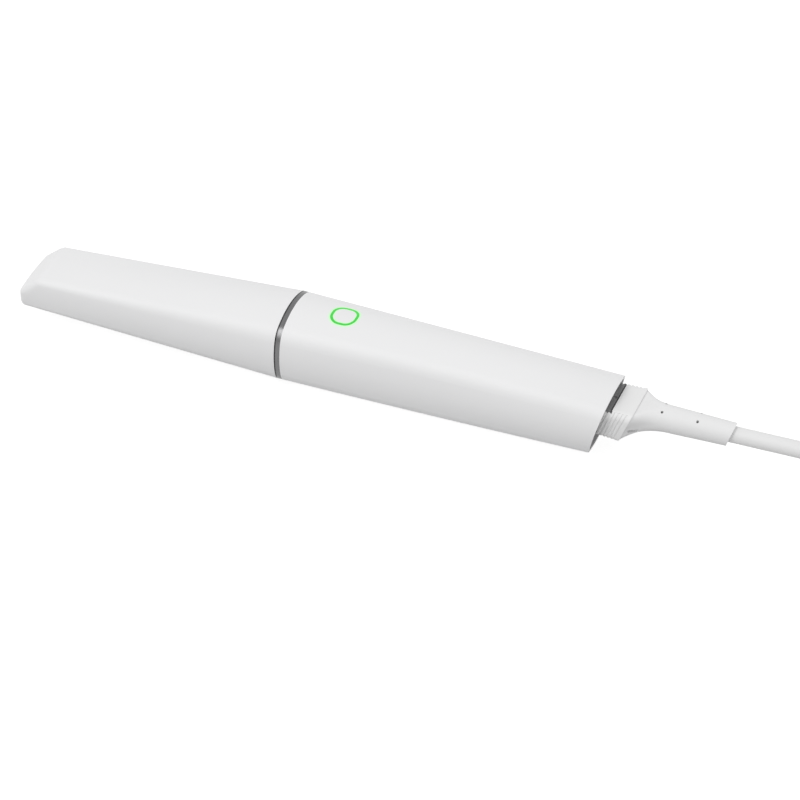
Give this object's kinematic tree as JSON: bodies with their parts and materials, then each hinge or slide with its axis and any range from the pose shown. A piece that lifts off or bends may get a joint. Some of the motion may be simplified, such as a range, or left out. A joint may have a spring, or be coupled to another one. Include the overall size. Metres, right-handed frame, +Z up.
{
  "type": "intraoral scanner",
  "caption": "Hand-held intraoral 3D scanner: white wand with removable mirror tip, lit button, plug-in cable with ribbed grip and boot.",
  "frame": {"origin": "bottom centre of the wand's box without the free cable: on the surface it lies on", "axes": "+X along the wand from the scan tip to the cable, +Z up through the button"},
  "size_m": [0.4666, 0.0566, 0.0301],
  "materials": {
    "housing_white": "satin moulded white plastic",
    "tip_white": "satin heat-resistant white plastic",
    "trim_steel": "brushed round the ring, polished shoulder",
    "snout_black": "fine matt black",
    "window_glass": "clear, coated",
    "lens_glass": "clear, purple coating",
    "barrel_black": "black anodised",
    "cast_alloy": "die cast, blasted",
    "board_green": "green solder mask",
    "chip_black": "matt black moulding",
    "sink_alloy": "extruded, natural",
    "light_green": "lit translucent green",
    "plate_grey": "matt dark grey",
    "screw_steel": "plain steel",
    "socket_black": "matt black",
    "mirror_silver": "front-surface mirror",
    "button_white": "satin moulded white plastic",
    "core_grey": "fine-grained dark grey",
    "grip_white": "satin moulded white plastic",
    "boot_white": "soft white overmould",
    "cable_white": "smooth white jacket",
    "tie_grey": "woven hook-and-loop tape",
    "host_white": "satin white overmould",
    "host_steel": "plated steel",
    "host_tongue_black": "matt black"
  },
  "bodies": {
    "handpiece": {"housing_shell": "housing_white", "trim_ring": "trim_steel", "snout": "snout_black", "snout_window": "window_glass", "projector_barrel": "barrel_black", "projector_lens": "lens_glass", "camera_barrel_left": "barrel_black", "camera_barrel_right": "barrel_black", "camera_lens_left": "lens_glass", "camera_lens_right": "lens_glass", "chassis": "cast_alloy", "sensor_board": "board_green", "main_board": "board_green", "button_board": "board_green", "processor": "chip_black", "heat_sink": "sink_alloy", "light_ring": "light_green", "button_switch": "chip_black", "rear_plate": "plate_grey", "rear_screws": "screw_steel", "plug_socket": "socket_black", "contact_tongue": "board_green"},
    "tip": {"tip_shell": "tip_white", "tip_mirror": "mirror_silver"},
    "button": {"button_cap": "button_white"},
    "plug": {"plug_connector": "core_grey", "plug_grip": "grip_white", "cable_boot": "boot_white", "cable": "cable_white", "cable_hank": "cable_white", "cable_tail": "cable_white", "hank_tie": "tie_grey", "host_plug": "host_white", "host_shell": "host_steel", "host_tongue": "host_tongue_black"}
  },
  "joints": [
    {"name": "tip_pull", "type": "slide", "parent": "handpiece", "child": "tip", "axis": [-1, 0, 0], "range_m": [0, 0.055]},
    {"name": "button_press", "type": "slide", "parent": "handpiece", "child": "button", "axis": [0, 0, -1], "range_m": [0, 0.0006], "stiffness_N_per_m": 800, "springref_m": -0.0005},
    {"name": "plug_pull", "type": "slide", "parent": "handpiece", "child": "plug", "axis": [1, 0, 0], "range_m": [0, 0.014]}
  ]
}
